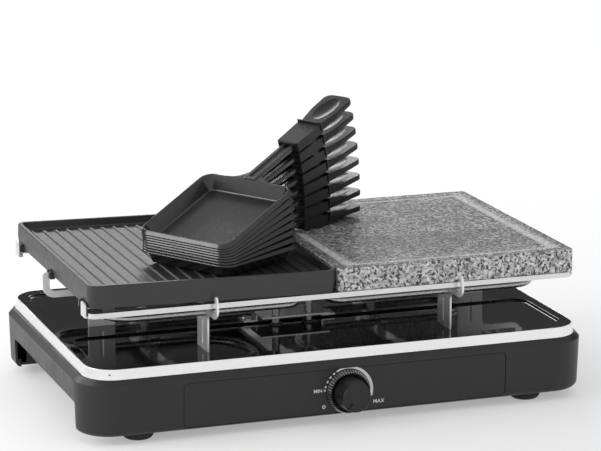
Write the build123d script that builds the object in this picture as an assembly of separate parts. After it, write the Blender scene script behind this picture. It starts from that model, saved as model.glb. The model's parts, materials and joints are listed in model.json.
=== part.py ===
from build123d import *
import os
from math import cos, radians, sin, tan

os.makedirs("parts", exist_ok=True)

# A countertop raclette grill for eight people. Millimetres, +Z up, the front faces -Y.
# The origin lies on the standing surface, below the middle of the moulded base.

# Base
base_width = 440.4
base_depth = 268.0
base_radius = 30.0
base_bottom = 7.0
base_edge_radius = 5.5
base_draft_run = 1.2
shoulder_z = 50.0
shoulder_top = 54.2
shoulder_run_x = 4.2
shoulder_run_y = 1.8
wall = 3.0
foot_wall = 6.0
foot_wall_top = 14.0
cutout_front = -106.0
cutout_rear = 90.0
cutout_top = 33.0

# Trim band and deck
band_width = 424.0
band_depth = 262.5
band_radius = 24.0
band_lean_x = 2.0
band_lean_y = 0.4
band_bottom = 54.6
band_top = 63.1
band_thick = 0.8
deck_thick = 1.2
recess_depth = 1.6
recess_half_width = 203.0
recess_inner = 31.0
recess_outer = 118.5
recess_radius = 14.0
recess_floor = band_top - recess_depth

# Plates and the frame that carries them
stone_bottom = 106.3
stone_top = 126.1
plate_width = 209.5
plate_depth = 236.0
plate_gap = 1.0
plate_radius = 8.0
plate_tilt = 1.1
hinge_x = -plate_gap / 2
hinge_z = stone_bottom
plate_foot_x = -193.0
cast_height = 18.8
cast_break = 9.1
hollow_height = 5.3
rim_width = 3.6
rib_height = 13.1
groove_floor = 11.9
rib_pitch = 10.4
rib_foot = 3.6
rib_crest = 1.8
rib_round = 0.6
frame_half_x = 209.5
frame_half_y = 117.5
frame_top = 106.2
frame_bottom = 102.0
end_rail_x = 196.0
tab_y = 106.0
tab_top = 114.0
sheet = 1.2
leg_sheet = 1.5
leg_x = 106.0
leg_back = -43.0
leg_front = -16.0
end_leg_back = -54.0
end_leg_front = -31.0
hook_lean = 6.0
bead_radius = 2.2
bead_top = 86.0

# Heating element
tube_radius = 3.3
element_z = 94.0
outer_run = 95.0
inner_run = 51.0
element_end_x = 187.0
element_turn_left = -34.0
element_turn_right = 11.0
left_post = (-26.0, -38.0)
right_post = (3.0, -38.0)

# Control panel and knob
panel_x = 3.0
panel_half_width = 139.6
panel_bottom = 9.4
panel_top = 46.6
panel_back = -130.5
knob_x = 3.0
knob_z = 27.0
knob_back = -134.2
knob_front = -155.0

# Pans: local x across, y from the front rim towards the handle, z square to the rim
pan_count = 8
pan_width = 91.6
pan_length = 95.0
pan_depth = 13.0
pan_sheet = 0.6
pan_corner = 10.0
crest_width = 0.9
pan_wall_angle = 25.0
lip_drop = 3.8
lip_run = 2.4
lip_wall = 1.15
lip_tuck = 0.4
lip_tuck_height = 0.8
pan_front = (-115.4, -65.5, 134.7)
pan_yaw = -56.3
pan_fan_angle = 2.98
pan_fan_lift = 2.23
neck_width = 13.0
neck_length = 84.0
sleeve_start = 152.0
sleeve_end = 187.0
handle_tip = 233.5

# Bottom cover and feet
cover_z = 8.0
cover_thick = 2.0
cover_step_x = 172.0
skirt_x = 209.0
skirt_bottom = 19.5
skirt_top = 46.0
foot_x = 169.5
foot_y = 113.0
foot_radius = 13.0
foot_round = 4.5


def block(x0, x1, y0, y1, z0, z1):
    """A box given by its limits."""
    return Pos((x0 + x1) / 2, (y0 + y1) / 2, (z0 + z1) / 2) * Box(x1 - x0, y1 - y0, z1 - z0)


def slab(width, depth, radius, z0, z1, x=0.0, y=0.0):
    """An upright plate with rounded corners."""
    return Pos(x, y, z0) * extrude(RectangleRounded(width, depth, radius), z1 - z0)


def tapered_slab(width, depth, radius, z0, z1, spread, spread_y=None):
    """A rounded plate that is wider at z1 than at z0 by spread on every side, or by spread_y along Y."""
    along_y = spread if spread_y is None else spread_y
    high_radius = radius + (spread + along_y) / 2
    low = Pos(0, 0, z0) * RectangleRounded(width, depth, radius)
    high = Pos(0, 0, z1) * RectangleRounded(width + 2 * spread, depth + 2 * along_y, high_radius)
    return loft([low, high], ruled=True)


def upright(radius, x, y, z0, z1):
    """A round bar along Z."""
    return Pos(x, y, (z0 + z1) / 2) * Cylinder(radius, z1 - z0)


def level(radius, x, z, y0, y1):
    """A round bar along Y."""
    return Pos(x, (y0 + y1) / 2, z) * Rot(90, 0, 0) * Cylinder(radius, y1 - y0)


def other_side(shape):
    """The same piece on the other side of the middle plane X = 0."""
    return mirror(shape, about=Plane.YZ)


def edges_at(shape, z):
    """The edges that lie in one level plane."""
    return shape.edges().filter_by_position(Axis.Z, z - 0.01, z + 0.01)


def vertical(edge):
    """True for a straight edge along Z."""
    ends = edge.position_at(1) - edge.position_at(0)
    return abs(ends.X) + abs(ends.Y) < 0.01 and abs(ends.Z) > 0.01


def rounded_outline(corners):
    """A flat outline from corners given as (x, y, rounding radius)."""
    face = make_face(Polyline(*[(x, y) for x, y, _ in corners], close=True))
    for x, y, radius in corners:
        if radius:
            corner = face.vertices().sort_by_distance((x, y, 0))[0]
            face = fillet(corner, radius)
    return face


def pan_head_screw(x, y, z_head, head_radius, shank_radius, length, down=False):
    """A screw along Z: its head starts at z_head and its shank points up, or down."""
    head_height = 0.6 * head_radius
    turn = -1 if down else 1
    head = upright(head_radius, 0, 0, 0, head_height)
    head = fillet(edges_at(head, 0), 0.35 * head_radius)
    slot_width = 0.28 * head_radius
    head -= Box(1.3 * head_radius, slot_width, 0.5 * head_height)
    head -= Box(slot_width, 1.3 * head_radius, 0.5 * head_height)
    shank = upright(shank_radius, 0, 0, head_height, head_height + length)
    shank = chamfer(edges_at(shank, head_height + length), 0.3 * shank_radius)
    screw = head + shank
    return Pos(x, y, z_head) * (Rot(180, 0, 0) * screw if turn < 0 else screw)


def base_form(inset=0.0):
    """The outer form of the moulded base, or the same form inset all round."""
    lower = tapered_slab(
        base_width - 2 * (base_draft_run + inset),
        base_depth - 2 * (base_draft_run + inset),
        base_radius - base_draft_run - inset,
        base_bottom,
        shoulder_z,
        base_draft_run,
    )
    lower = fillet(edges_at(lower, base_bottom), base_edge_radius)
    upper = tapered_slab(
        base_width - 2 * inset,
        base_depth - 2 * inset,
        base_radius - inset,
        shoulder_z,
        shoulder_top,
        -shoulder_run_x,
        -shoulder_run_y,
    )
    return lower + upper


cover_screw_places = [(-188.0, -120.0), (188.0, -120.0), (-188.0, 120.0), (188.0, 120.0), (0.0, 124.0)]
panel_screw_places = [(x, z) for x in (panel_x - 144.0, panel_x + 144.0) for z in (20.0, 42.0)]
inlet_x = 150.0
inlet_z = 26.0
inlet_radius = 7.0
cord_radius = 3.6


def make_base_housing():
    neck_outer_w = band_width - 2 * band_thick - 0.2
    neck_outer_d = band_depth - 2 * band_thick - 0.2
    neck_radius = band_radius - band_thick - 0.1
    neck_wall = 2.6
    body = base_form()
    body += slab(neck_outer_w, neck_outer_d, neck_radius, shoulder_top - 1, band_top - deck_thick)
    body -= slab(
        base_width - 2 * wall, base_depth - 2 * wall, base_radius - wall, foot_wall_top, shoulder_z - 1.5
    )
    body -= slab(
        base_width - 2 * foot_wall,
        base_depth - 2 * foot_wall,
        base_radius - foot_wall,
        base_bottom - 1,
        foot_wall_top,
    )
    body -= slab(
        neck_outer_w - 2 * neck_wall,
        neck_outer_d - 2 * neck_wall,
        neck_radius - neck_wall,
        shoulder_z - 2,
        band_top,
    )
    side_cut = block(-base_width, base_width, cutout_front, cutout_rear, 0, cutout_top)
    side_cut -= block(-200, 200, -200, 200, 0, cutout_top)
    side_cut = fillet(side_cut.edges().filter_by(Axis.X).group_by(Axis.Z)[-1], 3.0)
    body -= side_cut
    window = Pos(panel_x, 0, (panel_bottom + panel_top) / 2) * Rot(90, 0, 0) * extrude(
        RectangleRounded(2 * panel_half_width + 0.8, panel_top - panel_bottom + 0.8, 4.4), 200
    )
    body -= window
    for x, y in cover_screw_places:
        wall_y = (base_depth / 2 - wall) * (1 if y > 0 else -1)
        boss = upright(4.0, x, y, cover_z + cover_thick, shoulder_z - 1)
        boss += block(x - 1.5, x + 1.5, min(y, wall_y), max(y, wall_y), foot_wall_top, shoulder_z - 1)
        body += boss
        body -= upright(1.5, x, y, cover_z, cover_z + 14)
    for x, z in panel_screw_places:
        body -= level(1.2, x, z, -base_depth / 2 + 1.0, -base_depth / 2 + wall + 0.2)
    body -= level(inlet_radius, inlet_x, inlet_z, base_depth / 2 - wall - 1, base_depth / 2 + 1)
    return body


def make_control_panel():
    outline = Pos(panel_x, 0, (panel_bottom + panel_top) / 2) * Rot(90, 0, 0) * extrude(
        RectangleRounded(2 * panel_half_width, panel_top - panel_bottom, 4.0), 200
    )
    face = base_form(0.35) & outline & block(-200, 200, -140, panel_back, 0, 60)
    flange = block(panel_x - 148, panel_x + 148, panel_back - 0.4, panel_back + 1.1, 15.5, 47.5)
    flange = fillet(flange.edges().filter_by(Axis.Y), 3.0)
    panel = face + flange
    for side in (-1, 1):
        panel += level(3.0, knob_x + 19 * side, knob_z, panel_back, panel_back + 6)
        panel -= level(1.2, knob_x + 19 * side, knob_z, panel_back - 1.5, panel_back + 7)
    panel -= level(6.0, knob_x, knob_z, -140, -120)
    for x, z in panel_screw_places:
        panel -= level(1.6, x, z, -132, -128)
    return panel


seam_x = 186.0
tack_x = -197.0


def band_form(inset, low, high):
    """The leaning form of the trim band, set in by inset, between two heights."""
    lean_x = band_lean_x / (band_top - band_bottom)
    lean_y = band_lean_y / (band_top - band_bottom)
    below = band_top - low
    return tapered_slab(
        band_width - 2 * inset + 2 * lean_x * below,
        band_depth - 2 * inset + 2 * lean_y * below,
        band_radius - inset + (lean_x + lean_y) / 2 * below,
        low,
        high,
        -lean_x * (high - low),
        -lean_y * (high - low),
    )


def make_trim_band():
    """A band of constant thickness that leans out towards its lower edge, joined at the rear."""
    band = band_form(0.0, band_bottom, band_top) - band_form(band_thick, band_bottom - 1, band_top + 1)
    band = fillet(edges_at(band, band_top), 0.3)
    inner_y = band_depth / 2 - band_thick
    band -= block(seam_x - 0.2, seam_x + 0.2, inner_y - 5, inner_y + 5, band_bottom, band_top)
    band += block(seam_x - 2.5, seam_x + 2.5, inner_y, inner_y + 0.3, 57, 62.5)
    band -= level(0.7, tack_x, (band_bottom + band_top) / 2, -140, -120)
    return band


leg_foot_places = [(sx * leg_x, sy * 89.0) for sx in (-1, 1) for sy in (-1, 1)]
end_foot_places = [(-167.0, 0.0), (167.0, 0.0)]
mount_screw_places = [(x, y) for x in (-47.0, 25.0) for y in (-27.0, -19.0)]
tab_half = 5.0
fuse_x = -80.0
earth_place = (70.0, 0.0)


def deck_recess(side, grow):
    """One pan row of the deck, pressed down with sloping walls. grow makes the outside of the sheet."""
    width = 2 * (recess_half_width + grow)
    depth = recess_outer - recess_inner + 2 * grow
    y = side * (recess_inner + recess_outer) / 2
    top = band_top - (deck_thick if grow else -0.01)
    low = recess_floor - (deck_thick if grow else 0)
    inset = recess_depth
    radius = recess_radius + grow
    lower = Pos(0, y, low) * RectangleRounded(width - 2 * inset, depth - 2 * inset, radius - inset)
    upper = Pos(0, y, top) * RectangleRounded(width, depth, radius)
    return loft([lower, upper], ruled=True)


def make_deck_tray():
    sheet_in = 0.1
    deck = slab(
        band_width - 2 * (band_thick + sheet_in),
        band_depth - 2 * (band_thick + sheet_in),
        band_radius - band_thick - sheet_in,
        band_top - deck_thick,
        band_top,
    )
    deck = fillet(edges_at(deck, band_top), 0.5)
    for side in (-1, 1):
        deck += deck_recess(side, 0.5)
    for side in (-1, 1):
        deck -= deck_recess(side, 0.0)
    soft = [
        edge
        for edge in edges_at(deck, band_top)
        if abs(edge.center().X) < recess_half_width + 1 and abs(edge.center().Y) < recess_outer + 1
    ]
    deck = fillet(soft, 0.9)
    deck = fillet(edges_at(deck, recess_floor), 1.2)
    for x, y in leg_foot_places:
        deck -= block(x - 1.0, x + 1.0, y - tab_half - 0.3, y + tab_half + 0.3, 50, 65)
    for x, y in end_foot_places:
        deck -= block(x - tab_half - 0.3, x + tab_half + 0.3, y - 1.0, y + 1.0, 50, 65)
    for x, y in (left_post, right_post):
        deck -= upright(4.4, x, y, 50, 65)
    for x, y in mount_screw_places:
        deck -= upright(1.2, x, y, 50, 65)
    deck -= upright(1.6, *earth_place, 50, 65)
    return deck


def make_bottom_cover():
    half_y = base_depth / 2 - foot_wall - 0.5
    low, high = cover_z, cover_z + cover_thick
    cover = block(-cover_step_x - 2, cover_step_x + 2, -half_y, half_y, low, high)
    half_x = base_width / 2 - foot_wall - 0.5
    corners = slab(2 * half_x, 2 * half_y, base_radius - foot_wall - 0.5, low, high)
    corners -= block(-300, 300, cutout_front - 2, cutout_rear + 2, 0, 50)
    cover += corners
    for side in (-1, 1):
        inner, outer = sorted((side * cover_step_x, side * skirt_x))
        tray = block(inner, outer, cutout_front - 4, cutout_rear + 4, low, skirt_bottom + 2)
        hollow_in, hollow_out = sorted((side * (cover_step_x + 2), side * (skirt_x + 1)))
        tray -= block(hollow_in, hollow_out, cutout_front - 2, cutout_rear + 2, low - 1, skirt_bottom)
        cover += tray
        skirt_in, skirt_out = sorted((side * (skirt_x - 2), side * skirt_x))
        cover += block(skirt_in, skirt_out, cutout_front - 4, cutout_rear + 4, skirt_bottom, skirt_top)
    for pair in range(5):
        for step in (-8.7, 8.7):
            y = 58.4 - 44.0 * pair + step
            if y > cutout_front - 2:
                cover -= block(-220, -200, y - 1.1, y + 1.1, skirt_bottom + 2.6, 40)
                cover -= block(200, 220, y - 1.1, y + 1.1, skirt_bottom + 2.6, 40)
    for x, y in cover_screw_places:
        cover -= upright(1.7, x, y, 0, 20)
    for x in (-foot_x, foot_x):
        for y in (-foot_y, foot_y):
            cover += upright(4.5, x, y, high, 19)
            cover -= upright(1.8, x, y, 0, 19)
    for x, y in block_screw_places:
        cover += upright(3.2, x, y, high, high + 3)
        cover -= upright(1.2, x, y, low + 0.5, high + 4)
    return cover


def make_rubber_feet():
    feet = []
    for x in (-foot_x, foot_x):
        for y in (-foot_y, foot_y):
            foot = upright(foot_radius, x, y, 0, cover_z)
            foot = fillet(edges_at(foot, 0), foot_round)
            foot -= upright(4.4, x, y, -1, 4.6)
            foot -= upright(2.1, x, y, 0, 10)
            feet.append(foot)
    return Compound(feet)


def make_foot_screws():
    places = [(x, y) for x in (-foot_x, foot_x) for y in (-foot_y, foot_y)]
    return Compound([pan_head_screw(x, y, 4.6 - 2.1, 3.5, 1.8, 13.0) for x, y in places])


def make_cover_screws():
    return Compound([pan_head_screw(x, y, cover_z - 1.68, 2.8, 1.5, 12.0) for x, y in cover_screw_places])


def make_panel_screws():
    screws = []
    for x, z in panel_screw_places:
        screw = Pos(x, panel_back + 1.1 + 1.5, z) * Rot(90, 0, 0) * pan_head_screw(0, 0, 0, 2.5, 1.2, 3.1)
        screws.append(screw)
    return Compound(screws)


def make_cord_inlet():
    y_out = base_depth / 2
    grommet = level(inlet_radius - 0.05, inlet_x, inlet_z, y_out - wall - 1.5, y_out + 1.5)
    grommet += level(inlet_radius + 2.5, inlet_x, inlet_z, y_out - 0.2, y_out + 2.2)
    grommet += level(inlet_radius + 2.0, inlet_x, inlet_z, y_out - wall - 3.0, y_out - wall)
    grommet = fillet(grommet.edges().filter_by(GeomType.CIRCLE).group_by(Axis.Y)[-1], 1.0)
    return grommet - level(cord_radius, inlet_x, inlet_z, y_out - 12, y_out + 5)


def make_plate_carrier():
    """Bright strip frame: webs with inward flanges, rails set in at both ends, cross bars, corner tabs."""
    flange_width = 7.0
    low = frame_top - sheet
    reach_y = frame_half_y - 3
    corner = 6.0
    ring = slab(2 * frame_half_x, 2 * frame_half_y, corner, frame_bottom, frame_top)
    ring -= slab(2 * (frame_half_x - sheet), 2 * (frame_half_y - sheet), corner - sheet, 100, low)
    ring -= slab(2 * (end_rail_x - flange_width), 2 * (frame_half_y - flange_width), 3.0, 100, 110)
    open_y = tab_y - 6.0
    for side in (-1, 1):
        gap0, gap1 = sorted((side * end_rail_x, side * (frame_half_x + 1)))
        ring -= block(gap0, gap1, -open_y, open_y, 100, 110)
        rail0, rail1 = sorted((side * (end_rail_x - sheet), side * end_rail_x))
        ring += block(rail0, rail1, -open_y, open_y, frame_bottom, frame_top)
    for x, half in ((-leg_x, 6.0), (0.0, 8.0), (leg_x, 6.0)):
        ring += block(x - half, x + half, -reach_y, reach_y, low, frame_top)
    for side in (-1, 1):
        x0, x1 = sorted((side * leg_x, side * (end_rail_x - 3)))
        ring += block(x0, x1, -6, 6, low, frame_top)
        for y in (-tab_y, tab_y):
            out0, out1 = sorted((side * (frame_half_x - 0.5), side * (frame_half_x + 2.2)))
            ring += block(out0, out1, y - 6, y + 6, frame_bottom, frame_bottom + sheet)
            tab0, tab1 = sorted((side * (frame_half_x + 1.0), side * (frame_half_x + 2.2)))
            tab = block(tab0, tab1, y - 6, y + 6, frame_bottom, tab_top)
            ring += fillet(tab.edges().filter_by(Axis.X).group_by(Axis.Z)[-1], 2.5)
    for x, y in rivet_places():
        ring -= upright(1.5, x, y, 100, 110)
    return ring


def rivet_places():
    """Where the top flanges of the legs are riveted to the cross bars."""
    places = [(sx * (leg_x - 3.5), sy * y) for sx in (-1, 1) for sy in (-1, 1) for y in (80.0, 97.0)]
    places += [(sx * x, -3.5) for sx in (-1, 1) for x in (159.0, 173.0)]
    return places


def leg_profile(back, front, foot_z, arm_low, arm_high, lean):
    """Sheet outline: distance out from the frame's outer face, and height.

    The hook at the end of the arm leans back towards the frame by lean.
    """
    hook_out, hook_in, hook_top = 7.5, 1.6, 113.0
    outline = Polyline(
        (back, foot_z),
        (front, foot_z),
        (front, arm_low),
        (hook_out + lean, arm_low),
        (hook_out, hook_top),
        (hook_in, hook_top),
        (hook_in + lean, arm_high),
        (front, arm_high),
        (front, frame_top - sheet),
        (back, frame_top - sheet),
        close=True,
    )
    face = make_face(outline)
    rounding = {
        (front, arm_low): 6.0,
        (hook_out + lean, arm_low): 10.0,
        (hook_in + lean, arm_high): 4.5,
        (front, arm_high): 3.0,
        (hook_out, hook_top): 2.5,
        (hook_in, hook_top): 2.5,
    }
    for (s, z), radius in rounding.items():
        corner = face.vertices().sort_by_distance((s, z, 0))[0]
        face = fillet(corner, radius)
    return face


def press_bead(leg, y, low, high):
    """Presses a stiffening bead up a sheet leg: proud on one face and hollow on the other."""
    ridge = upright(bead_radius, leg_sheet / 2, y, low, high)
    ridge &= block(-bead_radius, 0, y - bead_radius, y + bead_radius, low, high)
    hollow = upright(bead_radius, 1.5 * leg_sheet, y, low, high)
    return leg + ridge - hollow


def make_leg(back, front, foot_z, arm_low, arm_high, lean, tube_hole):
    """A leg standing in the plane x = 0, with +y pointing out of the frame, from its outer face."""
    face = leg_profile(back, front, foot_z, arm_low, arm_high, lean)
    middle = (back + front) / 2
    tab = Pos(middle, foot_z - 2.5, 0) * Rectangle(2 * tab_half, 5.1)
    leg = Plane.YZ * extrude(face + tab, leg_sheet / 2, both=True)
    top = frame_top - sheet
    flange = block(0, 6.0, back, front, top - leg_sheet, top)
    flange = fillet(flange.edges().filter_by(Axis.Z).group_by(Axis.X)[-1], 2.0)
    leg = press_bead(leg + flange, middle, foot_z + 5, bead_top)
    if tube_hole:
        hole = Rot(0, 90, 0) * Cylinder(tube_radius + 0.45, 10)
        leg -= Pos(0, outer_run - frame_half_y, element_z) * hole
    return leg


def make_support_leg(side_x, side_y):
    leg = make_leg(leg_back, leg_front, recess_floor, 93.5, 98.5, hook_lean, True)
    for y in (80.0, 97.0):
        leg -= upright(1.5, 3.5, y - frame_half_y, 100, 110)
    leg = Pos(0, frame_half_y, 0) * leg
    if side_y < 0:
        leg = mirror(leg, about=Plane.XZ)
    leg = Pos(-leg_x, 0, 0) * leg
    return leg if side_x < 0 else other_side(leg)


def make_end_leg(side_x):
    leg = make_leg(end_leg_back, end_leg_front, band_top, 91.0, 96.5, 0.0, False)
    for x in (159.0, 173.0):
        leg -= upright(1.5, 3.5, x - frame_half_x, 100, 110)
    leg = Pos(frame_half_x, 0, 0) * Rot(0, 0, -90) * leg
    return leg if side_x > 0 else other_side(leg)


def make_leg_rivets():
    rivets = []
    for x, y in rivet_places():
        rivet = upright(1.5, x, y, frame_top - sheet - leg_sheet, frame_top)
        head = upright(2.4, x, y, frame_top - sheet - leg_sheet - 1.3, frame_top - sheet - leg_sheet)
        head = fillet(edges_at(head, frame_top - sheet - leg_sheet - 1.3), 1.0)
        rivets.append(rivet + head)
    return Compound(rivets)


def make_heating_element():
    """One bent tube. It rises at the posts, runs along the front and doubles back over both rows."""
    end = element_end_x
    z = element_z
    route = [
        (*left_post, 53.0),
        (*left_post, z),
        (left_post[0], -outer_run, z),
        (-end, -outer_run, z),
        (-end, -inner_run, z),
        (element_turn_left, -inner_run, z),
        (element_turn_left, inner_run, z),
        (-end, inner_run, z),
        (-end, outer_run, z),
        (end, outer_run, z),
        (end, inner_run, z),
        (element_turn_right, inner_run, z),
        (element_turn_right, -inner_run, z),
        (end, -inner_run, z),
        (end, -outer_run, z),
        (right_post[0], -outer_run, z),
        (*right_post, z),
        (*right_post, 53.0),
    ]
    tight = 11.0
    loop = (outer_run - inner_run) / 2 - 0.3
    wide = inner_run - 0.3
    half_route = [tight, tight, loop, loop, wide, wide, loop, loop]
    radii = half_route + half_route[::-1]
    path = FilletPolyline(*route, radius=radii)
    section = Plane(origin=path @ 0, z_dir=path % 0) * Circle(tube_radius)
    return sweep(section, path=path)


def make_element_terminals():
    return Compound([upright(1.3, x, y, 42, 53) for x, y in (left_post, right_post)])


def make_element_collars():
    collar_top = recess_floor + 1.9
    collars = []
    for x, y in (left_post, right_post):
        collar = upright(5.4, x, y, recess_floor, collar_top) + upright(4.3, x, y, 55, recess_floor)
        collar = fillet(edges_at(collar, collar_top), 0.8)
        collars.append(collar - upright(tube_radius + 0.1, x, y, 50, 70))
    deck = make_deck_tray()
    return Compound([collar - deck for collar in collars])


def make_element_clips():
    """Straps that hang the inner runs of the tube from the cross bars."""
    top = frame_top - sheet
    loop = Cylinder(tube_radius + 1.0, 8) - Cylinder(tube_radius, 9)
    hook = Pos(0, 0, element_z) * Rot(0, 90, 0) * loop
    hook -= block(-5, 5, -5, 0, element_z, element_z + 6)
    hook += block(-4, 4, tube_radius, tube_radius + 1.0, element_z, top)
    hook += block(-4, 4, tube_radius, tube_radius + 8.0, top - 1.0, top)
    clips = []
    for x in (-leg_x, leg_x):
        clips.append(Pos(x, inner_run, 0) * hook)
        clips.append(Pos(x, -inner_run, 0) * mirror(hook, about=Plane.XZ))
    return Compound(clips)


def make_element_mount_plate():
    """Small bridge round the two posts, bent down to the middle strip of the deck at both ends."""
    x0, x1 = -41.0, 19.0
    plate = block(x0, x1, -47, -16, 69, 70.2)
    plate += block(x0, x0 + 1.2, -30, -16, band_top, 70)
    plate += block(x1 - 1.2, x1, -30, -16, band_top, 70)
    plate += block(x0 - 11, x0 + 1, -30, -16, band_top, band_top + 1.2)
    plate += block(x1 - 1, x1 + 11, -30, -16, band_top, band_top + 1.2)
    for x, y in (left_post, right_post):
        plate -= upright(tube_radius + 0.3, x, y, 60, 75)
    for x, y in mount_screw_places:
        plate -= upright(1.3, x, y, 60, 66)
    return plate


def make_mount_plate_screws():
    top = band_top + 1.2 + 1.5
    return Compound([pan_head_screw(x, y, top, 2.5, 1.2, 5.0, down=True) for x, y in mount_screw_places])


body_back = panel_back + 6 + sheet
thermostat_depth = 22.0


def make_thermostat_bracket():
    plate = block(knob_x - 24, knob_x + 24, panel_back + 6, body_back, knob_z - 9, knob_z + 9)
    plate = fillet(plate.edges().filter_by(Axis.Y), 3.0)
    plate -= level(5.2, knob_x, knob_z, -130, -120)
    for side in (-1, 1):
        plate -= level(1.4, knob_x + 19 * side, knob_z, -130, -120)
    return plate


def make_thermostat_screws():
    screws = []
    for side in (-1, 1):
        screw = pan_head_screw(0, 0, 0, 2.6, 1.2, 6.6)
        screws.append(Pos(knob_x + 19 * side, body_back + 1.56, knob_z) * Rot(90, 0, 0) * screw)
    return Compound(screws)


def make_thermostat_body():
    case_back = body_back + thermostat_depth
    case = block(knob_x - 14, knob_x + 14, body_back, case_back, knob_z - 12, knob_z + 12)
    case = fillet(case.edges().filter_by(Axis.Y), 3.0)
    case = chamfer(case.edges().group_by(Axis.Y)[-1], 1.0)
    case += level(5.0, knob_x, knob_z, panel_back - 1.5, body_back)
    for side in (-1, 1):
        tag = block(
            knob_x + side * 8 - 3,
            knob_x + side * 8 + 3,
            body_back + thermostat_depth - 0.1,
            body_back + thermostat_depth + 8,
            knob_z + 4,
            knob_z + 4.8,
        )
        case += tag
    return case - level(3.05, knob_x, knob_z, -140, body_back + 16)


def make_thermostat_shaft():
    shaft = level(3.0, knob_x, knob_z, -151, body_back + 15)
    flat = block(knob_x - 4, knob_x + 4, -152, -139, knob_z + 1.8, knob_z + 4)
    return shaft - flat


def make_knob():
    """Dished round grip with a flat face and a pointer slot, standing on a narrower foot."""
    back = Pos(knob_x, knob_back - 2.2, knob_z) * Rot(90, 0, 0) * Circle(14.6)
    front = Pos(knob_x, knob_front, knob_z) * Rot(90, 0, 0) * Circle(12.1)
    grip = loft([back, front], ruled=True)
    grip = fillet(grip.edges().filter_by(GeomType.CIRCLE).group_by(Axis.Y)[0], 1.3)
    grip += level(14.2, knob_x, knob_z, knob_back - 2.2, knob_back - 0.6)
    pointer = Rot(0, -135, 0) * block(-1.0, 1.0, -1.0, 1.0, 6.0, 13.0)
    grip -= Pos(knob_x, knob_front, knob_z) * pointer
    return grip - make_thermostat_shaft() - make_knob_clip()


def make_knob_ring():
    """Bright knurled skirt round the foot of the knob."""
    outer_back = Pos(knob_x, knob_back, knob_z) * Rot(90, 0, 0) * Circle(18.4)
    outer_front = Pos(knob_x, knob_back - 5.5, knob_z) * Rot(90, 0, 0) * Circle(16.6)
    ring = loft([outer_back, outer_front], ruled=True)
    ring -= level(15.6, knob_x, knob_z, knob_back - 7, knob_back - 2.2)
    ring -= level(14.2, knob_x, knob_z, knob_back - 3, knob_back + 1)
    notch_count = 48
    notch = Pos(0, knob_back - 4.2, 17.9) * Rot(18, 0, 0) * Box(1.0, 5.0, 1.4)
    step = 360 / notch_count
    cutters = [Pos(knob_x, 0, knob_z) * Rot(0, step * i, 0) * notch for i in range(notch_count)]
    return ring - Compound(cutters)


def make_knob_clip():
    """Spring strip pressed between the flat of the shaft and the knob."""
    return block(knob_x - 2, knob_x + 2, -150, -140, knob_z + 1.8, knob_z + 2.4)


def make_grill_plate():
    """Cast plate with a raised rim, low narrow ribs along Y and a hollow underside.

    It is built level on its underside and then turned about its inner lower edge, because the feet
    under its outer end hold that end higher.
    """
    low = tapered_slab(plate_width - 2.4, plate_depth - 2.4, plate_radius - 1.2, 0, cast_break, 1.2)
    high = tapered_slab(plate_width, plate_depth, plate_radius, cast_break, cast_height, -0.3)
    plate = low + high
    plate = fillet(edges_at(plate, cast_height), 1.0)
    inner_w = plate_width - 2 * rim_width
    inner_d = plate_depth - 2 * rim_width
    draft = 1.4
    hollow = tapered_slab(
        inner_w - 2 * draft,
        inner_d - 2 * draft,
        plate_radius - 3.0,
        groove_floor,
        cast_height + 0.01,
        draft,
    )
    hollow = fillet(edges_at(hollow, groove_floor), 1.5)
    plate -= hollow
    plate = fillet(edges_at(plate, cast_height), 0.6)
    rib_count = 19
    rib_length = inner_d - 2 * draft - 9.0
    rise = rib_height - groove_floor
    half_foot, half_crest = rib_foot / 2, rib_crest / 2
    corners = ((-half_foot, 0), (half_foot, 0), (half_crest, rise), (-half_crest, rise))
    profile = make_face(Polyline(*corners, close=True))
    profile = fillet(profile.vertices().group_by(Axis.Y)[-1], rib_round)
    rib = Pos(0, rib_length / 2, groove_floor - 0.02) * Rot(90, 0, 0) * extrude(profile, rib_length)
    ends = loft(
        [
            Pos(0, 0, groove_floor - 0.02) * Rectangle(8, rib_length),
            Pos(0, 0, rib_height) * Rectangle(8, rib_length - 4.0),
        ],
        ruled=True,
    )
    rib = rib & ends
    for i in range(rib_count):
        plate += Pos(rib_pitch * (i - (rib_count - 1) / 2), 0, 0) * rib
    plate -= slab(plate_width - 20, plate_depth - 16, 5.0, -1, hollow_height)
    plate = Pos(hinge_x - plate_width / 2, 0, hinge_z) * plate
    plate = turn_on_hinge(plate)
    for y in (-96.0, -3.2, 3.2, 96.0):
        ear = block(-212.2, -207.5, y - 1.6, y + 1.6, 107.6, 114.0)
        plate += fillet(ear.edges().filter_by(Axis.Y).group_by(Axis.X)[0], 1.2)
    foot_z = frame_top + 0.1
    foot_top = hinge_z + (hinge_x - plate_foot_x) * sin(radians(plate_tilt)) + 1.0
    for y in (-113.2, 113.2):
        plate += block(plate_foot_x - 5, plate_foot_x + 5, y - 1.8, y + 1.8, foot_z, foot_top)
    return plate


def turn_on_hinge(shape):
    """Lifts the outer end of the left plate, and what stands on it, about the plate's inner lower edge."""
    return Pos(hinge_x, 0, hinge_z) * Rot(0, plate_tilt, 0) * Pos(-hinge_x, 0, -hinge_z) * shape


def make_stone_plate():
    """Granite slab with a shallow juice groove round its top."""
    x_mid = (plate_gap + plate_width) / 2
    stone = slab(plate_width, plate_depth, 4.0, stone_bottom, stone_top)
    stone = chamfer(edges_at(stone, stone_top), 0.9)
    stone = fillet(edges_at(stone, stone_bottom), 1.8)
    inset, groove_width, groove_depth = 9.0, 9.0, 1.3
    groove_z = stone_top - groove_depth
    outer = slab(plate_width - 2 * inset, plate_depth - 2 * inset, 8.0, groove_z, stone_top + 1)
    island = slab(
        plate_width - 2 * (inset + groove_width),
        plate_depth - 2 * (inset + groove_width),
        5.0,
        groove_z - 1,
        stone_top + 2,
    )
    stone -= outer - island
    return Pos(x_mid, 0, 0) * stone


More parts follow.
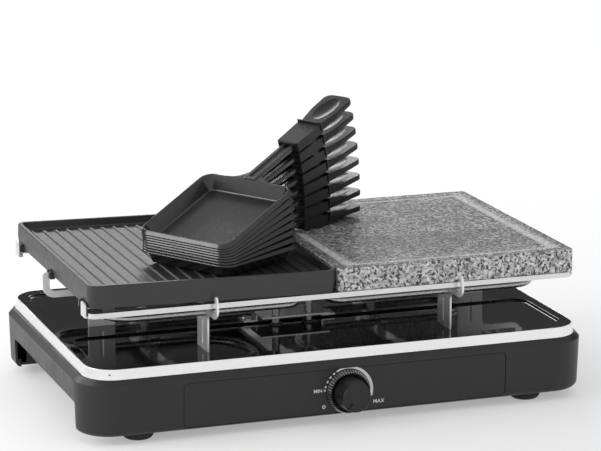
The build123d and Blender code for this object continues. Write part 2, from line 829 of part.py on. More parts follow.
def pan_form(grow, extra_top=0.0):
    """The pan's hollow, or the outside of its sheet when grow is the sheet thickness."""
    slope = tan(radians(pan_wall_angle))
    side = grow / cos(radians(pan_wall_angle))
    mouth_w = pan_width - 2 * crest_width + 2 * side
    mouth_l = pan_length - 2 * crest_width + 2 * side
    mouth_r = pan_corner - crest_width + side
    low_z = pan_sheet - pan_depth - grow
    run = slope * -low_z
    over = slope * extra_top
    middle = pan_length / 2
    low = Pos(0, middle, low_z) * RectangleRounded(mouth_w - 2 * run, mouth_l - 2 * run, mouth_r - run)
    high = Pos(0, middle, extra_top) * RectangleRounded(
        mouth_w + 2 * over, mouth_l + 2 * over, mouth_r + over
    )
    form = loft([low, high], ruled=True)
    return fillet(edges_at(form, low_z), 1.6 + grow)


def lip_ring(z, run):
    """The pan's outline at a height of the lip, run wider on every side than the crest."""
    outline = RectangleRounded(pan_width + 2 * run, pan_length + 2 * run, pan_corner + run)
    return Pos(0, pan_length / 2, z) * outline


def make_lip():
    """The lip all round the pan: it flares out from the crest and tucks in again at its lower edge."""
    belly = -lip_drop + lip_tuck_height
    outer = loft([lip_ring(belly, lip_run), lip_ring(0.0, 0.0)], ruled=True)
    outer += loft([lip_ring(-lip_drop, lip_run - lip_tuck), lip_ring(belly, lip_run)], ruled=True)
    outer = fillet(edges_at(outer, belly), 1.0)
    inner_run = lip_run - 2 * lip_tuck
    inner_low = -lip_wall - (lip_drop - lip_tuck_height) * inner_run / lip_run
    inner = loft([lip_ring(inner_low, inner_run), lip_ring(-lip_wall, 0.0)], ruled=True)
    inner += loft([lip_ring(-lip_drop - 1, inner_run), lip_ring(inner_low, inner_run)], ruled=True)
    return outer - inner


def make_pan_local():
    """Tray with a crest and a flared lip, and a neck that runs out into the handle."""
    pan = pan_form(pan_sheet) + make_lip()
    pan = fillet(edges_at(pan, 0), 0.35)
    pan -= pan_form(0.0, 0.4)
    pan = fillet(edges_at(pan, 0), 0.2)
    neck_low, neck_high = -1.6, 1.6
    half = neck_width / 2
    neck = block(-half, half, pan_length - 0.7, pan_length + neck_length, neck_low, neck_high)
    neck = fillet(neck.edges().filter_by(Axis.Y).group_by(Axis.Z)[-1], 1.5)
    groove = block(-2.3, 2.3, pan_length + 3.0, pan_length + 60, neck_high - 1.6, neck_high + 1)
    neck -= fillet(groove.edges().filter_by(Axis.Y).group_by(Axis.Z)[0], 1.2)
    root_reach = 15.0
    curve_l = ThreePointArc((-24, 0), (-10.5, 5.2), (-half, root_reach))
    curve_r = ThreePointArc((half, root_reach), (10.5, 5.2), (24, 0))
    root = make_face(
        curve_l
        + Line((-half, root_reach), (half, root_reach))
        + curve_r
        + Line((24, 0), (24, -0.6))
        + Line((24, -0.6), (-24, -0.6))
        + Line((-24, -0.6), (-24, 0))
    )
    neck += Pos(0, pan_length, -1.0) * extrude(root, 1.4, dir=(0, 0, 1))
    bump = Pos(0, pan_length - 0.6, 0.0) * Sphere(2.6)
    bump = bump & block(-4, 4, pan_length - 2.0, pan_length + 2, -pan_sheet, 1.5)
    return pan + neck + bump


def make_handle_sleeve():
    """The part of the handle that grips the neck, with a thin lip across its outer end."""
    lip = sleeve_end - 0.7
    side = rounded_outline(
        [
            (sleeve_start, -4.0, 0.8),
            (sleeve_end + 0.8, -4.0, 1.2),
            (sleeve_end + 0.8, 4.4, 0),
            (lip, 4.4, 0),
            (sleeve_start, 4.4, 0.8),
        ]
    )
    plan = rounded_outline(
        [
            (-10.4, sleeve_start, 1.0),
            (-11.6, sleeve_end + 0.8, 0.6),
            (11.6, sleeve_end + 0.8, 0.6),
            (10.4, sleeve_start, 1.0),
        ]
    )
    sleeve = (Plane.YZ * extrude(side, 16, both=True)) & (Pos(0, 0, -10) * extrude(plan, 30, dir=(0, 0, 1)))
    rim = block(-12.4, 12.4, lip - 0.7, lip + 0.7, -2.0, 6.2)
    return sleeve + fillet(rim.edges().filter_by(Axis.X), 0.5)


def make_handle_spoon():
    """The flat outer part of the handle."""
    root = sleeve_end - 2.0
    side = rounded_outline(
        [
            (root, -3.2, 0),
            (root + 3.0, -3.2, 6.0),
            (root + 22.0, -0.4, 30.0),
            (handle_tip, 0.8, 0),
            (handle_tip, 5.2, 0),
            (root + 18.0, 4.2, 30.0),
            (root, 4.0, 0),
        ]
    )
    plan = rounded_outline(
        [
            (-10.9, root, 0),
            (-10.9, root + 4.0, 12.0),
            (-13.9, root + 22.0, 24.0),
            (-13.9, handle_tip, 7.0),
            (13.9, handle_tip, 7.0),
            (13.9, root + 22.0, 24.0),
            (10.9, root + 4.0, 12.0),
            (10.9, root, 0),
        ]
    )
    spoon = (Plane.YZ * extrude(side, 16, both=True)) & (Pos(0, 0, -10) * extrude(plan, 30, dir=(0, 0, 1)))
    soft = [edge for edge in spoon.edges() if edge.center().Y > root + 0.1 and not vertical(edge)]
    rounded = [edge for edge in soft if abs(edge.center().X) > 0.1 or edge.center().Y > handle_tip - 1]
    return fillet(rounded, 0.8)


def make_handle_local():
    """Moulded handle: sleeve, spoon with an oval thumb dimple, and the pocket for the neck."""
    solid = make_handle_sleeve() + make_handle_spoon()
    solid -= Pos(0, sleeve_end + 22.0, 7.9) * scale(Sphere(1), by=(12.0, 24.0, 5.0))
    half = neck_width / 2 + 0.1
    return solid - block(-half, half, 140, pan_length + neck_length + 0.1, -1.7, 1.7)


def pan_place(index):
    """Where pan number index stands in the stack, counted from 0 at the bottom.

    The lowest pan lies on the tilted ribs. Each further pan sits in the one below, a little higher and
    opened by the same small angle, because the handles are thicker than the nested trays.
    """
    place = Pos(*pan_front) * Rot(0, plate_tilt, 0) * Rot(0, 0, pan_yaw)
    for _ in range(index):
        place = place * Pos(0, 0, pan_fan_lift) * Rot(pan_fan_angle, 0, 0)
    return place


block_x, block_y = 120.0, 60.0
block_screw_places = [(block_x, block_y - 13.0), (block_x, block_y + 13.0)]
block_z = cover_z + cover_thick + 3


def make_terminal_block():
    body = block(block_x - 9, block_x + 9, block_y - 17, block_y + 17, block_z, block_z + 12)
    body = fillet(body.edges().filter_by(Axis.Z), 1.5)
    for step in (-8, 0, 8):
        body -= Pos(block_x, block_y + step, block_z + 5) * Rot(0, 90, 0) * Cylinder(1.5, 30)
        body -= upright(1.8, block_x, block_y + step, block_z + 8, block_z + 13)
    for x, y in block_screw_places:
        body -= upright(1.3, x, y, block_z - 1, block_z + 13)
    return body


def make_terminal_block_screws():
    return Compound(
        [pan_head_screw(x, y, block_z + 13.5, 2.5, 1.2, 13.6, down=True) for x, y in block_screw_places]
    )


def make_thermal_fuse():
    """Small thermal fuse in a sleeve, held against the underside of the deck's middle strip."""
    top = band_top - deck_thick
    case = Pos(fuse_x, 0, top - 2.6) * Rot(0, 90, 0) * Cylinder(2.2, 14)
    case = fillet(case.edges().filter_by(GeomType.CIRCLE), 0.6)
    return case


def make_fuse_clip():
    top = band_top - deck_thick
    clip = block(fuse_x - 4, fuse_x + 4, -11, 11, top - 1.0, top)
    clip -= block(fuse_x - 5, fuse_x + 5, -2.4, 2.4, top - 2, top + 1)
    arch = Pos(fuse_x, 0, top - 2.6) * Rot(0, 90, 0) * (Cylinder(3.2, 8) - Cylinder(2.2, 9))
    arch -= block(fuse_x - 6, fuse_x + 6, -5, 5, top - 1.0, top + 5)
    return clip + arch + block(fuse_x - 4, fuse_x + 4, -3.4, -2.4, top - 2.6, top) + block(
        fuse_x - 4, fuse_x + 4, 2.4, 3.4, top - 2.6, top
    )


def make_earth_screw():
    """Screw up into the deck with a ring tag under its head."""
    x, y = earth_place
    top = band_top - deck_thick
    screw = pan_head_screw(x, y, top - 1.0 - 2.1, 3.5, 1.6, 2.2)
    tag = upright(4.2, x, y, top - 1.0, top) + block(x, x + 11, y - 2, y + 2, top - 1.0, top)
    tag -= upright(1.6, x, y, top - 2, top + 1)
    return Compound([screw, tag])


def wire(points, radius=1.1, bend=5.0):
    """A lead along straight runs joined by tangent arcs."""
    path = FilletPolyline(*points, radius=bend)
    return sweep(Plane(origin=path @ 0, z_dir=path % 0) * Circle(radius), path=path)


def make_internal_leads():
    tag_y = body_back + thermostat_depth + 8
    tag_z = knob_z + 4.4
    inner_x = block_x - 9
    height = block_z + 5
    fuse_z = band_top - deck_thick - 2.6
    tag_face = band_top - deck_thick - 0.5
    supply = wire(
        [
            (inner_x, block_y - 8, height),
            (60, block_y - 8, height),
            (60, tag_y + 20, tag_z),
            (knob_x + 8, tag_y + 20, tag_z),
            (knob_x + 8, tag_y, tag_z),
        ]
    )
    to_element = wire(
        [
            (knob_x - 8, tag_y, tag_z),
            (knob_x - 8, tag_y + 16, tag_z),
            (left_post[0], tag_y + 16, tag_z),
            (left_post[0], left_post[1], tag_z - 4),
            (left_post[0], left_post[1], 42),
        ]
    )
    neutral = wire(
        [
            (inner_x, block_y, height),
            (20, block_y, height + 4),
            (-110, 20, 48),
            (-110, 0, fuse_z),
            (fuse_x - 7, 0, fuse_z),
        ],
        bend=4.0,
    )
    fuse_to_element = wire(
        [
            (fuse_x + 7, 0, fuse_z),
            (-55, 0, fuse_z),
            (-40, 0, 46),
            (right_post[0], -10, 34),
            (*right_post, 30),
            (*right_post, 42),
        ],
        bend=4.0,
    )
    earth = wire(
        [
            (inner_x, block_y + 8, height),
            (95, block_y + 8, height),
            (95, 0, height),
            (95, 0, tag_face),
            (earth_place[0] + 11, earth_place[1], tag_face),
        ],
        radius=0.45,
        bend=4.0,
    )
    return Compound([supply, to_element, neutral, fuse_to_element, earth])


pieces = {
    "base_housing": make_base_housing,
    "control_panel": make_control_panel,
    "trim_band": make_trim_band,
    "deck_tray": make_deck_tray,
    "bottom_cover": make_bottom_cover,
    "rubber_feet": make_rubber_feet,
    "foot_screws": make_foot_screws,
    "cover_screws": make_cover_screws,
    "panel_screws": make_panel_screws,
    "cord_inlet": make_cord_inlet,
    "plate_carrier": make_plate_carrier,
    "front_leg_left": lambda: make_support_leg(-1, -1),
    "front_leg_right": lambda: make_support_leg(1, -1),
    "rear_leg_left": lambda: make_support_leg(-1, 1),
    "rear_leg_right": lambda: make_support_leg(1, 1),
    "end_leg_left": lambda: make_end_leg(-1),
    "end_leg_right": lambda: make_end_leg(1),
    "leg_rivets": make_leg_rivets,
    "heating_element": make_heating_element,
    "element_terminals": make_element_terminals,
    "element_collars": make_element_collars,
    "element_clips": make_element_clips,
    "element_mount_plate": make_element_mount_plate,
    "mount_plate_screws": make_mount_plate_screws,
    "thermostat_body": make_thermostat_body,
    "thermostat_bracket": make_thermostat_bracket,
    "thermostat_screws": make_thermostat_screws,
    "thermal_fuse": make_thermal_fuse,
    "fuse_clip": make_fuse_clip,
    "terminal_block": make_terminal_block,
    "terminal_block_screws": make_terminal_block_screws,
    "internal_leads": make_internal_leads,
    "earth_screw": make_earth_screw,
    "thermostat_shaft": make_thermostat_shaft,
    "knob": make_knob,
    "knob_ring": make_knob_ring,
    "knob_clip": make_knob_clip,
    "grill_plate": make_grill_plate,
    "stone_plate": make_stone_plate,
}

for name, make in pieces.items():
    export_step(make(), f"parts/{name}.step")

pan_local = make_pan_local()
handle_local = make_handle_local()
for number in range(pan_count):
    place = pan_place(number)
    export_step(place * pan_local, f"parts/pan_{number + 1}.step")
    export_step(place * handle_local, f"parts/pan_{number + 1}_handle.step")
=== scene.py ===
import json
from math import cos, pi, radians, sin

import bmesh
import bpy
from mathutils import Matrix, Vector


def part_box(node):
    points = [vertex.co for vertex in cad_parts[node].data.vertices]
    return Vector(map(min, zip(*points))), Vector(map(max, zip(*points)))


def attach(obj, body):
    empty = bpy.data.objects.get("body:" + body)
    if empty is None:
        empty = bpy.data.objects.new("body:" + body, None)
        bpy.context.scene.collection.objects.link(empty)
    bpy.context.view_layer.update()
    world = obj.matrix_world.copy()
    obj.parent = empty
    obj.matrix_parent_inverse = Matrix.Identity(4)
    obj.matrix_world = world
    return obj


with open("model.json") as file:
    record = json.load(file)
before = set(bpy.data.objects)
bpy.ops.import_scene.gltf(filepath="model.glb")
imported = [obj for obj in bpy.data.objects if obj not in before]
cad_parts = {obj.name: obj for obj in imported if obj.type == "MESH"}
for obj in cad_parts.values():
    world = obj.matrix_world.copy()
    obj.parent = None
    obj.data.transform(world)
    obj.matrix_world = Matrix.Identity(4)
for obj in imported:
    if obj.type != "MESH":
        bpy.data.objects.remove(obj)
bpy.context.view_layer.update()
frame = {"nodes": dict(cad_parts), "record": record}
nodes = frame["nodes"]

# Places on the object, in metres, as the solids have them
KNOB_X = 0.003
KNOB_Z = 0.027
RING_TEETH = 48
RING_INSIDE = 0.0166
RING_EDGE = 0.0170
PANEL_FOOT = 0.007
PANEL_HEIGHT = 0.043
PANEL_FACE = 0.1328
PANEL_LEAN = 0.0012
MARKS_BACK = 0.00029
STONE_TOP = 0.1261
GROOVE_INSET = 0.0135
GROOVE_HALF = 0.0042
GROOVE_FADE = 0.0062

# Light: strengths of the sky, and the photograph's camera
SKY_BACK = 0.06
SKY_FRONT = 0.78
SKY_TOP = 0.8
LAMP_TARGET = (0, 0, 0.1)
PHOTO_WIDTH = 601
FOCAL_PIXELS = 2783.4
SENSOR_WIDTH = 36.0
CAMERA_PLACE = (-0.7685, -2.1676, 0.6814)
CAMERA_AZIMUTH = -19.74
CAMERA_ELEVATION = 13.34
CAMERA_ROLL = 0.16


# Materials


class Look:
    """One node material with short helpers for its nodes and links."""

    def __init__(self, name, **values):
        self.material = bpy.data.materials.new(name)
        self.material.use_nodes = True
        self.tree = self.material.node_tree
        self.shader = self.tree.nodes["Principled BSDF"]
        for socket, value in values.items():
            self.set(socket.replace("_", " "), value)

    def set(self, socket, value):
        self.shader.inputs[socket].default_value = value

    def node(self, kind, **values):
        made = self.tree.nodes.new(kind)
        for key, value in values.items():
            if hasattr(made, key):
                setattr(made, key, value)
            else:
                made.inputs[key.replace("_", " ")].default_value = value
        return made

    def link(self, start, end):
        self.tree.links.new(start, end)

    def place(self, scale=(1.0, 1.0, 1.0)):
        """Object coordinates in metres, stretched by scale."""
        coords = self.node("ShaderNodeTexCoord")
        mapping = self.node("ShaderNodeMapping")
        mapping.inputs["Scale"].default_value = scale
        self.link(coords.outputs["Object"], mapping.inputs["Vector"])
        return mapping.outputs["Vector"]

    def noise(self, scale, detail=2.0, roughness=0.5, stretch=(1.0, 1.0, 1.0)):
        made = self.node("ShaderNodeTexNoise", Scale=scale, Detail=detail, Roughness=roughness)
        self.link(self.place(stretch), made.inputs["Vector"])
        return made.outputs["Fac"]

    def cells(self, scale, stretch=(1.0, 1.0, 1.0), output="Color"):
        made = self.node("ShaderNodeTexVoronoi", Scale=scale)
        self.link(self.place(stretch), made.inputs["Vector"])
        return made.outputs[output]

    def ramp(self, source, stops):
        """Maps a value to greys or colours: stops are (position, colour or grey)."""
        made = self.node("ShaderNodeValToRGB")
        elements = made.color_ramp.elements
        while len(elements) < len(stops):
            elements.new(0.5)
        for element, (position, colour) in zip(elements, stops):
            element.position = position
            grey = colour if isinstance(colour, tuple) else (colour, colour, colour)
            element.color = (*grey, 1.0)
        self.link(source, made.inputs["Fac"])
        return made.outputs["Color"]

    def mix(self, factor, first, second, blend="MIX"):
        made = self.node("ShaderNodeMix", data_type="RGBA", blend_type=blend)
        for socket, value in ((made.inputs[0], factor), (made.inputs[6], first), (made.inputs[7], second)):
            if hasattr(value, "is_linked"):
                self.link(value, socket)
            else:
                socket.default_value = value
        return made.outputs[2]

    def maths(self, operation, first, second=0.0):
        made = self.node("ShaderNodeMath", operation=operation)
        for socket, value in zip(made.inputs, (first, second)):
            if hasattr(value, "is_linked"):
                self.link(value, socket)
            else:
                socket.default_value = value
        return made.outputs[0]

    def span(self, source, low, high, source_low=0.3, source_high=0.7):
        made = self.node("ShaderNodeMapRange")
        made.inputs["From Min"].default_value = source_low
        made.inputs["From Max"].default_value = source_high
        made.inputs["To Min"].default_value = low
        made.inputs["To Max"].default_value = high
        self.link(source, made.inputs["Value"])
        return made.outputs["Result"]

    def colour_from(self, source):
        self.link(source, self.shader.inputs["Base Color"])

    def roughness_from(self, source):
        self.link(source, self.shader.inputs["Roughness"])

    def bump(self, source, strength, distance):
        made = self.node("ShaderNodeBump", Strength=strength, Distance=distance)
        if self.shader.inputs["Normal"].is_linked:
            self.link(self.shader.inputs["Normal"].links[0].from_socket, made.inputs["Normal"])
        self.link(source, made.inputs["Height"])
        self.link(made.outputs["Normal"], self.shader.inputs["Normal"])


def grey(value):
    return (value, value, value, 1.0)


def moulded(name, shade, roughness, grain=2200.0, strength=0.12, specular=0.4):
    """Moulded plastic with a fine eroded grain and slight cloudiness."""
    look = Look(name, Specular_IOR_Level=specular)
    cloud = look.noise(18.0, 3.0)
    look.colour_from(look.ramp(cloud, [(0.3, shade * 0.88), (0.7, shade * 1.12)]))
    look.roughness_from(look.span(look.noise(60.0, 4.0), roughness - 0.05, roughness + 0.05))
    look.bump(look.noise(grain, 2.0, 0.6), strength, 0.00006)
    return look.material


def polished(name, shade, roughness):
    """Polished metal with faint rubbing marks."""
    look = Look(name, Metallic=1.0)
    look.colour_from(look.ramp(look.noise(25.0, 3.0), [(0.3, shade * 0.95), (0.7, shade)]))
    look.roughness_from(look.span(look.noise(400.0, 3.0, 0.6), roughness * 0.6, roughness * 1.5))
    look.bump(look.noise(9.0, 2.0), 0.15, 0.0004)
    return look.material


def sheet_steel(name, shade, roughness):
    """Bright cold-rolled sheet: satin, with faint rolling lines and soft stains."""
    look = Look(name, Metallic=1.0)
    lines = look.noise(1.0, 3.0, 0.6, (300.0, 300.0, 2600.0))
    stains = look.noise(60.0, 3.0)
    look.colour_from(look.ramp(stains, [(0.3, shade * 0.92), (0.7, shade)]))
    look.roughness_from(look.span(lines, roughness - 0.08, roughness + 0.08))
    look.bump(look.noise(14.0, 2.0), 0.12, 0.0004)
    look.bump(lines, 0.08, 0.00002)
    return look.material


def brushed_band():
    """Stainless band: hair lines run level round the base."""
    look = Look("brushed_band", Metallic=1.0, Anisotropic=0.4)
    lines = look.noise(1.0, 4.0, 0.7, (6.0, 6.0, 5200.0))
    look.colour_from(look.ramp(lines, [(0.3, 0.84), (0.7, 0.93)]))
    look.roughness_from(look.span(lines, 0.22, 0.36))
    look.bump(lines, 0.12, 0.00004)
    return look.material


def knurled_ring():
    """Dark plated ring: painted highlights as light teeth round its sloping edge, and painted shade, near
    black, inside.
    """
    look = Look("bright_ring", Metallic=1.0)
    from_axis = look.node("ShaderNodeVectorMath", operation="SUBTRACT")
    from_axis.inputs[1].default_value = (KNOB_X, 0.0, KNOB_Z)
    flat = look.node("ShaderNodeVectorMath", operation="MULTIPLY")
    flat.inputs[1].default_value = (1.0, 0.0, 1.0)
    radius = look.node("ShaderNodeVectorMath", operation="LENGTH")
    look.link(look.place(), from_axis.inputs[0])
    look.link(from_axis.outputs[0], flat.inputs[0])
    look.link(flat.outputs[0], radius.inputs[0])
    split = look.node("ShaderNodeSeparateXYZ")
    look.link(flat.outputs[0], split.inputs[0])
    angle = look.maths("ARCTAN2", split.outputs["X"], split.outputs["Z"])
    wave = look.maths("COSINE", look.maths("MULTIPLY", angle, RING_TEETH))
    # painted highlights: light and dark teeth in the base colour stand in for glints off the ring's edge
    painted_tooth_glints = look.ramp(look.span(wave, 1.0, 0.0, -1.0, 1.0), [(0.25, 0.12), (0.75, 0.62)])
    # painted shade: inside RING_INSIDE the base colour is near black
    edge = look.span(radius.outputs["Value"], 0.0, 1.0, RING_INSIDE, RING_EDGE)
    look.colour_from(look.mix(edge, grey(0.015), painted_tooth_glints))
    look.roughness_from(look.span(look.noise(400.0, 3.0), 0.24, 0.38))
    return look.material


def enamel():
    """Glossy black enamel on pressed sheet, with the slow waviness that it has."""
    look = Look("black_enamel", IOR=1.46)
    look.colour_from(look.ramp(look.noise(30.0, 3.0), [(0.3, 0.0035), (0.7, 0.006)]))
    look.roughness_from(look.span(look.noise(40.0, 3.0), 0.03, 0.07))
    look.bump(look.noise(14.0, 1.0), 0.05, 0.0006)
    look.bump(look.noise(900.0, 1.0), 0.03, 0.00002)
    return look.material


def non_stick(name, shade, roughness, specular, fleck_share=0.25, grain=0.25):
    """Sprayed non-stick coat: dark satin with a tiny fleck and orange peel."""
    look = Look(name, Specular_IOR_Level=specular)
    fleck = look.cells(1400.0, output="Distance")
    cloud = look.noise(22.0, 4.0)
    base = look.ramp(cloud, [(0.3, shade * 0.85), (0.7, shade * 1.15)])
    flecks = look.ramp(fleck, [(0.0, fleck_share), (0.22, 0.0)])
    look.colour_from(look.mix(flecks, base, grey(shade * 2.2)))
    look.roughness_from(look.span(look.noise(130.0, 4.0), roughness - 0.04, roughness + 0.04))
    look.bump(look.noise(1500.0, 2.0), grain, 0.00005)
    return look.material


def granite():
    """Speckled grey granite: pale feldspar, grey quartz and dark mica.

    Its flat top is polished and darker, and the groove round the top is pale and dull.
    """
    look = Look("granite", Specular_IOR_Level=0.3)
    low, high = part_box("stone_plate")
    split = look.node("ShaderNodeSeparateXYZ")
    look.link(look.place(), split.inputs[0])
    reach = []
    for axis in (0, 1):
        centre = (low[axis] + high[axis]) / 2
        line = (high[axis] - low[axis]) / 2 - GROOVE_INSET
        from_centre = look.maths("ABSOLUTE", look.maths("SUBTRACT", split.outputs[axis], centre))
        reach.append(look.maths("SUBTRACT", from_centre, line))
    from_groove = look.maths("ABSOLUTE", look.maths("MAXIMUM", *reach))
    groove = look.span(from_groove, 0.55, 0.0, GROOVE_HALF, GROOVE_FADE)
    top = look.span(split.outputs["Z"], 0.0, 1.0, STONE_TOP - 0.0005, STONE_TOP - 0.0002)
    quartz = look.ramp(look.noise(260.0, 3.0, 0.6), [(0.38, 0.22), (0.5, 0.50), (0.6, 0.80)])
    patches = look.ramp(look.cells(380.0), [(0.15, 0.26), (0.5, 0.55), (0.85, 0.86)])
    mica = look.ramp(look.noise(430.0, 3.0, 0.62), [(0.0, 0.0), (0.52, 0.0), (0.57, 0.97)])
    body = look.mix(mica, look.mix(0.45, quartz, patches), grey(0.045))
    clouds = look.ramp(look.noise(20.0, 3.0), [(0.36, 0.72), (0.64, 1.2)])
    polished_body = look.ramp(body, [(0.1, 0.03), (0.4, 0.15), (0.7, 0.44)])
    polished_body = look.mix(1.0, polished_body, clouds, "MULTIPLY")
    body = look.mix(top, body, polished_body)
    look.colour_from(look.mix(groove, body, grey(0.62)))
    dullness = look.ramp(look.noise(300.0, 3.0), [(0.3, 0.46), (0.7, 0.60)])
    look.roughness_from(look.mix(top, grey(0.62), dullness))
    look.bump(look.noise(600.0, 3.0), 0.2, 0.0001)
    return look.material


def simple(name, shade, roughness):
    """A plain small part: a little cloudiness and surface texture."""
    look = Look(name)
    look.colour_from(look.ramp(look.noise(50.0, 3.0), [(0.3, shade * 0.88), (0.7, shade * 1.08)]))
    look.roughness_from(look.span(look.noise(300.0, 3.0), roughness - 0.05, roughness + 0.05))
    look.bump(look.noise(900.0, 2.0), 0.1, 0.00004)
    return look.material


looks = {
    "black_plastic": moulded("black_plastic", 0.014, 0.4, specular=0.45),
    "brushed_band": brushed_band(),
    "black_enamel": enamel(),
    "rubber": moulded("rubber", 0.02, 0.7, 900.0, 0.2),
    "screw_steel": polished("screw_steel", 0.62, 0.25),
    "bright_steel": sheet_steel("bright_steel", 0.76, 0.34),
    "heater_steel": polished("heater_steel", 0.42, 0.3),
    "insulator": simple("insulator", 0.7, 0.6),
    "dark_insulator": simple("dark_insulator", 0.045, 0.55),
    "pale_plastic": moulded("pale_plastic", 0.6, 0.5),
    "lead_sleeve": moulded("lead_sleeve", 0.45, 0.6),
    "knob_plastic": moulded("knob_plastic", 0.012, 0.34),
    "bright_ring": knurled_ring(),
    "coated_cast": non_stick("coated_cast", 0.018, 0.44, 0.65),
    "granite": granite(),
    "coated_sheet": non_stick("coated_sheet", 0.012, 0.25, 0.7, fleck_share=0.05, grain=0.03),
    "handle_plastic": moulded("handle_plastic", 0.008, 0.32, specular=0.28),
}
mark_paint = simple("mark_paint", 0.75, 0.5)
# painted light: the legs are the same steel as bright_steel, in a copy given a lighter colour, 0.98
# against 0.76, so that they read brighter
leg_steel_painted_light = sheet_steel("leg_steel_painted_light", 0.98, 0.58)

slots = {entry["node"]: entry["material_slot"] for entry in frame["record"]["subparts"]}
for name, piece in nodes.items():
    piece.data.materials.clear()
    piece.data.materials.append(leg_steel_painted_light if "_leg_" in name else looks[slots[name]])


# Dial marks on the panel


def lay_on_panel(x, z):
    """A drawing point just proud of the panel's face, which leans out a little towards its top."""
    lean = PANEL_LEAN * (z - PANEL_FOOT) / PANEL_HEIGHT
    return Vector((x, MARKS_BACK - PANEL_FACE - lean, z))


def strip_mesh(name, outlines):
    """Flat marks from closed outlines of (x, z) points, in metres from the knob's axis."""
    mesh = bpy.data.meshes.new(name)
    made = bmesh.new()
    for outline in outlines:
        corners = [made.verts.new(lay_on_panel(KNOB_X + x, KNOB_Z + z)) for x, z in outline]
        made.faces.new(corners)
    bmesh.ops.recalc_face_normals(made, faces=made.faces)
    for face in made.faces:
        if face.normal.y > 0:
            face.normal_flip()
    made.to_mesh(mesh)
    made.free()
    piece = bpy.data.objects.new(name, mesh)
    bpy.context.scene.collection.objects.link(piece)
    mesh.materials.append(mark_paint)
    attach(piece, "base")


def arc_band(start, end, radius_start, radius_end, width_start, width_end, steps):
    """A curved band round the knob whose width changes along its length."""
    inner, outer = [], []
    for i in range(steps + 1):
        t = i / steps
        angle = radians(start + (end - start) * t)
        radius = radius_start + (radius_end - radius_start) * t
        half = (width_start + (width_end - width_start) * t) / 2
        inner.append(((radius - half) * cos(angle), (radius - half) * sin(angle)))
        outer.append(((radius + half) * cos(angle), (radius + half) * sin(angle)))
    quads = []
    for i in range(steps):
        quads.append([inner[i], inner[i + 1], outer[i + 1], outer[i]])
    return quads


def dial_scale():
    """The printed arc, its ticks up to the least setting and the tick past the greatest."""
    quads = arc_band(120, 35, 0.0201, 0.0204, 0.0012, 0.0026, 26)
    quads += arc_band(35, -16, 0.0204, 0.0210, 0.0026, 0.0024, 16)
    for angle in (127.5, 139.5, 152, 165):
        quads += arc_band(angle - 2.9, angle + 2.9, 0.0200, 0.0200, 0.0012, 0.0012, 3)
    quads += arc_band(171.5, 175.5, 0.0202, 0.0202, 0.0015, 0.0015, 2)
    quads += arc_band(-34, -26, 0.0222, 0.0214, 0.0010, 0.0012, 3)
    strip_mesh("dial_scale", quads)


def dial_word(name, text, angle, radius, height, stretch=1.0):
    """Small printed word, centred at an angle round the knob and widened by stretch."""
    curve = bpy.data.curves.new(name, "FONT")
    curve.body = text
    curve.size = height / 0.7
    curve.align_x = "CENTER"
    curve.align_y = "CENTER"
    curve.extrude = 0.00002
    curve.offset = 0.00006
    x = KNOB_X + radius * cos(radians(angle))
    z = KNOB_Z + radius * sin(radians(angle))
    word = bpy.data.objects.new(name, curve)
    bpy.context.scene.collection.objects.link(word)
    upright = pi / 2 + PANEL_LEAN / PANEL_HEIGHT
    turn = Matrix.Rotation(upright, 4, "X") @ Matrix.Diagonal((stretch, 1.0, 1.0, 1.0))
    word.matrix_world = Matrix.Translation(lay_on_panel(x, z)) @ turn
    curve.materials.append(mark_paint)
    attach(word, "base")


dial_scale()
dial_word("dial_min", "MIN", 175.0, 0.0261, 0.0029)
dial_word("dial_max", "MAX", -22.4, 0.0293, 0.0032)
dial_word("dial_off", "0", 209.6, 0.0238, 0.0032, 1.35)


# Floor, world, lamps and camera


def spread(tree, source, source_range, result_range, kind="LINEAR"):
    """Maps a value from one range to another in a node tree."""
    made = tree.nodes.new("ShaderNodeMapRange")
    made.interpolation_type = kind
    made.inputs["From Min"].default_value, made.inputs["From Max"].default_value = source_range
    made.inputs["To Min"].default_value, made.inputs["To Max"].default_value = result_range
    tree.links.new(source, made.inputs["Value"])
    return made.outputs["Result"]


def light_path_factor(tree):
    """1 for rays that show the background: camera, glossy and transmission rays."""
    path = tree.nodes.new("ShaderNodeLightPath")
    first = tree.nodes.new("ShaderNodeMath")
    first.operation = "MAXIMUM"
    tree.links.new(path.outputs["Is Camera Ray"], first.inputs[0])
    tree.links.new(path.outputs["Is Glossy Ray"], first.inputs[1])
    second = tree.nodes.new("ShaderNodeMath")
    second.operation = "MAXIMUM"
    tree.links.new(first.outputs[0], second.inputs[0])
    tree.links.new(path.outputs["Is Transmission Ray"], second.inputs[1])
    return second.outputs[0]


def build_world():
    """Soft light from above and in front, which fades towards the level behind the object."""
    world = bpy.data.worlds.new("studio")
    bpy.context.scene.world = world
    world.use_nodes = True
    tree = world.node_tree
    tree.nodes.clear()
    output = tree.nodes.new("ShaderNodeOutputWorld")
    sky = tree.nodes.new("ShaderNodeBackground")
    sky.inputs["Color"].default_value = grey(1.0)
    coords = tree.nodes.new("ShaderNodeTexCoord")
    split = tree.nodes.new("ShaderNodeSeparateXYZ")
    tree.links.new(coords.outputs["Generated"], split.inputs[0])
    height = spread(tree, split.outputs["Z"], (0.2, 0.9), (SKY_BACK, SKY_TOP))
    front = spread(tree, split.outputs["Y"], (-0.35, 0.1), (1.0, 0.0), "SMOOTHSTEP")
    blend = tree.nodes.new("ShaderNodeMix")
    blend.inputs["B"].default_value = SKY_FRONT
    tree.links.new(front, blend.inputs["Factor"])
    tree.links.new(height, blend.inputs["A"])
    tree.links.new(blend.outputs["Result"], sky.inputs["Strength"])
    tree.links.new(sky.outputs[0], output.inputs[0])


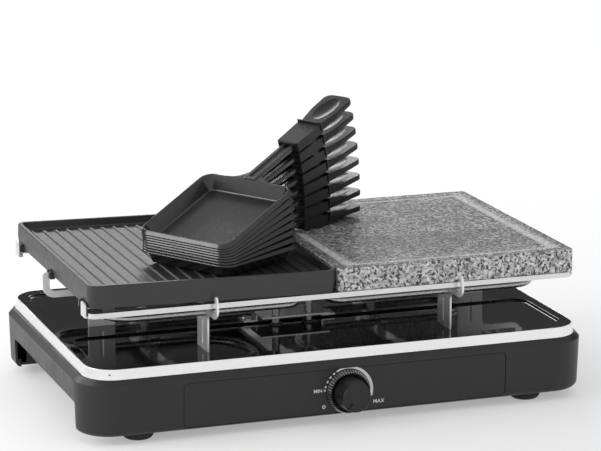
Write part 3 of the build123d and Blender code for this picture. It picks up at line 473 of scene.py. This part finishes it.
def build_floor():
    """A wide plain white floor that takes the object's shadow and stays white further away."""
    mesh = bpy.data.meshes.new("floor")
    made = bmesh.new()
    bmesh.ops.create_grid(made, x_segments=4, y_segments=4, size=20.0)
    made.to_mesh(mesh)
    made.free()
    floor = bpy.data.objects.new("floor", mesh)
    bpy.context.scene.collection.objects.link(floor)
    material = bpy.data.materials.new("floor_white")
    material.use_nodes = True
    tree = material.node_tree
    shader = tree.nodes["Principled BSDF"]
    shader.inputs["Base Color"].default_value = grey(0.92)
    shader.inputs["Roughness"].default_value = 0.9
    shader.inputs["Specular IOR Level"].default_value = 0.0
    coords = tree.nodes.new("ShaderNodeTexCoord")
    length = tree.nodes.new("ShaderNodeVectorMath")
    length.operation = "LENGTH"
    tree.links.new(coords.outputs["Object"], length.inputs[0])
    away = spread(tree, length.outputs["Value"], (0.3, 0.9), (0.35, 1.0), "SMOOTHSTEP")
    lift = tree.nodes.new("ShaderNodeMath")
    lift.operation = "MULTIPLY"
    white = tree.nodes.new("ShaderNodeEmission")
    white.inputs["Color"].default_value = grey(1.0)
    mix = tree.nodes.new("ShaderNodeMixShader")
    tree.links.new(away, lift.inputs[0])
    tree.links.new(light_path_factor(tree), lift.inputs[1])
    tree.links.new(lift.outputs[0], mix.inputs[0])
    tree.links.new(shader.outputs[0], mix.inputs[1])
    tree.links.new(white.outputs[0], mix.inputs[2])
    tree.links.new(mix.outputs[0], tree.nodes["Material Output"].inputs["Surface"])
    mesh.materials.append(material)


def area_lamp(name, place, size, power):
    """A soft rectangular lamp that points at the middle of the object."""
    data = bpy.data.lights.new(name, "AREA")
    data.shape = "RECTANGLE"
    data.size, data.size_y = size
    data.energy = power
    lamp = bpy.data.objects.new(name, data)
    lamp.location = place
    lamp.rotation_mode = "QUATERNION"
    lamp.rotation_quaternion = (Vector(LAMP_TARGET) - Vector(place)).to_track_quat("-Z", "Y")
    lamp.visible_camera = False
    bpy.context.scene.collection.objects.link(lamp)


def build_camera():
    """The photograph's camera, as solved from it."""
    data = bpy.data.cameras.new("camera")
    data.sensor_fit = "HORIZONTAL"
    data.sensor_width = SENSOR_WIDTH
    data.lens = FOCAL_PIXELS / PHOTO_WIDTH * SENSOR_WIDTH
    data.clip_start = 0.05
    data.clip_end = 50.0
    camera = bpy.data.objects.new("camera", data)
    azimuth, elevation = radians(CAMERA_AZIMUTH), radians(CAMERA_ELEVATION)
    level = cos(elevation)
    forward = Vector((-sin(azimuth) * level, cos(azimuth) * level, -sin(elevation)))
    roll = Matrix.Rotation(radians(CAMERA_ROLL), 4, "Z")
    turn = forward.to_track_quat("-Z", "Y").to_matrix().to_4x4() @ roll
    camera.matrix_world = Matrix.Translation(CAMERA_PLACE) @ turn
    bpy.context.scene.collection.objects.link(camera)
    bpy.context.scene.camera = camera


build_world()
build_floor()
area_lamp("key_left", (-1.8, 0.1, 0.8), (1.0, 1.0), 19)
area_lamp("back_soft", (0.35, 2.0, 1.1), (1.5, 0.35), 13)
area_lamp("back_left", (-1.2, 1.5, 1.1), (1.0, 0.6), 10)
build_camera()
bpy.context.scene.view_settings.view_transform = "Standard"
